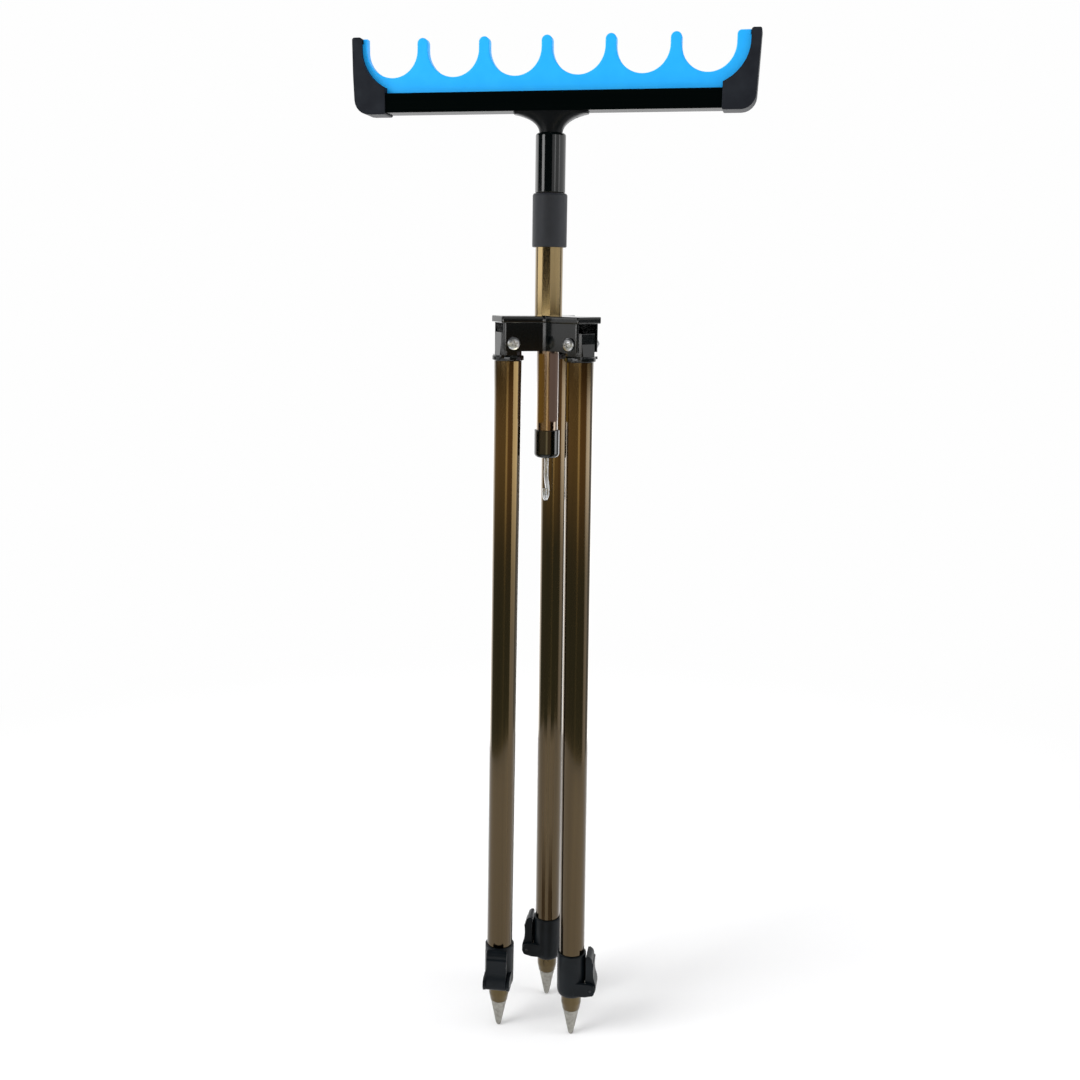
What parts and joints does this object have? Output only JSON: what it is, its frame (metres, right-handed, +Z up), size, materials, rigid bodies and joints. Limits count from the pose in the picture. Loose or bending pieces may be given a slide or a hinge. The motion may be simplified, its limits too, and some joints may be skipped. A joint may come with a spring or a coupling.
{
  "type": "surf rod tripod",
  "caption": "Folding aluminium tripod with telescopic spiked legs, a raising mast and a notched bar that holds surf fishing rods upright.",
  "frame": {"origin": "centre of the bounding box at the ground, under the spike tips of the folded tripod", "axes": "+Z up; the rod bar runs along X; one leg stands at the back (+Y) and two at the front (-Y)"},
  "size_m": [0.3604, 0.1042, 0.9498],
  "materials": {
    "comb_plastic": "moulded azure plastic, satin",
    "gloss_black_plastic": "moulded black plastic, glossy",
    "black_extrusion": "black anodised and polished aluminium extrusion",
    "satin_black_plastic": "moulded charcoal plastic, satin",
    "grip_plastic": "dark grey plastic, finely textured",
    "clamp_plastic": "moulded blue-black plastic, satin",
    "bronze_aluminium": "bronze anodised aluminium tube, polished lengthwise",
    "bright_steel": "plated steel, bright",
    "dark_steel": "blackened steel pin",
    "spike_alloy": "die-cast alloy, grey, slightly dull",
    "natural_plastic": "natural white plastic"
  },
  "bodies": {
    "column": {"hub": "gloss_black_plastic", "column_tube": "bronze_aluminium", "column_sleeve": "natural_plastic", "guide_bush": "natural_plastic", "column_set_screw": "bright_steel", "back_pivot_bolt": "bright_steel", "back_pivot_nut": "bright_steel", "left_pivot_bolt": "bright_steel", "left_pivot_nut": "bright_steel", "right_pivot_bolt": "bright_steel", "right_pivot_nut": "bright_steel"},
    "grip": {"collet": "natural_plastic"},
    "mast": {"mast_tube": "bronze_aluminium", "socket": "gloss_black_plastic", "neck": "satin_black_plastic", "neck_screw_left": "bright_steel", "neck_screw_right": "bright_steel", "channel": "black_extrusion", "comb": "comb_plastic", "end_cap_left": "satin_black_plastic", "end_cap_right": "satin_black_plastic", "bottom_cap": "gloss_black_plastic"},
    "hook": {"hook": "bright_steel", "hook_nut": "bright_steel"},
    "collar": {"twist_collar": "grip_plastic"},
    "back_leg": {"back_leg_fitting": "gloss_black_plastic", "back_outer_tube": "bronze_aluminium", "back_clamp_housing": "clamp_plastic", "back_lever_pin": "dark_steel", "back_brake_pad": "natural_plastic"},
    "back_lever": {"back_clamp_lever": "clamp_plastic"},
    "back_foot": {"back_inner_tube": "bronze_aluminium", "back_inner_bush": "natural_plastic", "back_spike": "spike_alloy"},
    "left_leg": {"left_leg_fitting": "gloss_black_plastic", "left_outer_tube": "bronze_aluminium", "left_clamp_housing": "clamp_plastic", "left_lever_pin": "dark_steel", "left_brake_pad": "natural_plastic"},
    "left_lever": {"left_clamp_lever": "clamp_plastic"},
    "left_foot": {"left_inner_tube": "bronze_aluminium", "left_inner_bush": "natural_plastic", "left_spike": "spike_alloy"},
    "right_leg": {"right_leg_fitting": "gloss_black_plastic", "right_outer_tube": "bronze_aluminium", "right_clamp_housing": "clamp_plastic", "right_lever_pin": "dark_steel", "right_brake_pad": "natural_plastic"},
    "right_lever": {"right_clamp_lever": "clamp_plastic"},
    "right_foot": {"right_inner_tube": "bronze_aluminium", "right_inner_bush": "natural_plastic", "right_spike": "spike_alloy"}
  },
  "joints": [
    {"name": "mast_turn", "type": "hinge", "parent": "column", "child": "grip", "pos_m": [0, -0.00475, 0.79], "axis": [0, 0, 1], "continuous": true},
    {"name": "mast_slide", "type": "slide", "parent": "grip", "child": "mast", "axis": [0, 0, 1], "range_m": [0, 0.0725]},
    {"name": "hook_turn", "type": "hinge", "parent": "mast", "child": "hook", "pos_m": [0, -0.00475, 0.58], "axis": [0, 0, 1], "continuous": true},
    {"name": "collar_twist", "type": "hinge", "parent": "column", "child": "collar", "pos_m": [0, -0.00475, 0.793], "axis": [0, 0, 1], "range_deg": [0, 180]},
    {"name": "back_leg_fold", "type": "hinge", "parent": "column", "child": "back_leg", "pos_m": [0, 0.03325, 0.68499], "axis": [1, 0, 0], "range_deg": [0, 25]},
    {"name": "back_leg_extend", "type": "slide", "parent": "back_leg", "child": "back_foot", "axis": [0, 0.0073, -1], "range_m": [0, 0.48]},
    {"name": "back_lever_open", "type": "hinge", "parent": "back_leg", "child": "back_lever", "pos_m": [-0.01987, 0.0368, 0.056], "axis": [0.0523, -0.9986, -0.0073], "range_deg": [0, 100]},
    {"name": "left_leg_fold", "type": "hinge", "parent": "column", "child": "left_leg", "pos_m": [-0.03291, -0.02375, 0.68499], "axis": [-0.5, 0.866, 0], "range_deg": [0, 25]},
    {"name": "left_leg_extend", "type": "slide", "parent": "left_leg", "child": "left_foot", "axis": [-0.0063, -0.0037, -1], "range_m": [0, 0.48]},
    {"name": "left_lever_open", "type": "hinge", "parent": "left_leg", "child": "left_lever", "pos_m": [-0.03515, -0.04587, 0.05607], "axis": [0.9962, 0.0871, -0.0066], "range_deg": [0, 100]},
    {"name": "right_leg_fold", "type": "hinge", "parent": "column", "child": "right_leg", "pos_m": [0.03291, -0.02375, 0.68499], "axis": [-0.5, -0.866, 0], "range_deg": [0, 25]},
    {"name": "right_leg_extend", "type": "slide", "parent": "right_leg", "child": "right_foot", "axis": [0.0063, -0.0037, -1], "range_m": [0, 0.48]},
    {"name": "right_lever_open", "type": "hinge", "parent": "right_leg", "child": "right_lever", "pos_m": [0.05676, -0.02501, 0.05613], "axis": [-0.0523, 0.9986, -0.004], "range_deg": [0, 100]}
  ]
}
